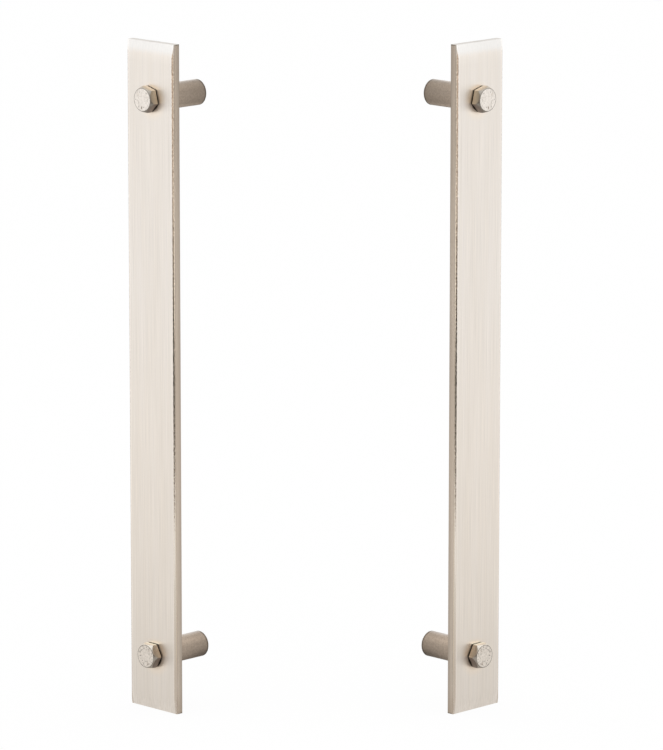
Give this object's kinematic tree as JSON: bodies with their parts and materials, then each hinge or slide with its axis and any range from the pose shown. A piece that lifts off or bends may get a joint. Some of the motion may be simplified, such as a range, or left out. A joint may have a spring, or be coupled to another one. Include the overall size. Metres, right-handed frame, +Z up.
{
  "type": "double door handle",
  "caption": "Matching flat-bar door pulls for a double door: a satin nickel bar stands off on round posts, with hexagon bolts through its face.",
  "frame": {"origin": "centre of the pair's box: on the mirror plane between the pulls, at half their height and half their depth", "axes": "+Z up along the bars, +X to the right seen from the front, +Y from the front towards the doors; each pull is turned 45 degrees about Z, its face outwards"},
  "size_m": [0.25, 0.0522, 0.4572],
  "materials": {
    "bar": "satin nickel, brushed lengthwise",
    "post": "satin nickel, turned",
    "bolt": "satin nickel, as forged"
  },
  "bodies": {
    "root": {"left_bar": "bar", "left_upper_post": "post", "left_lower_post": "post", "left_upper_bolt": "bolt", "left_lower_bolt": "bolt", "right_bar": "bar", "right_upper_post": "post", "right_lower_post": "post", "right_upper_bolt": "bolt", "right_lower_bolt": "bolt"}
  },
  "joints": []
}
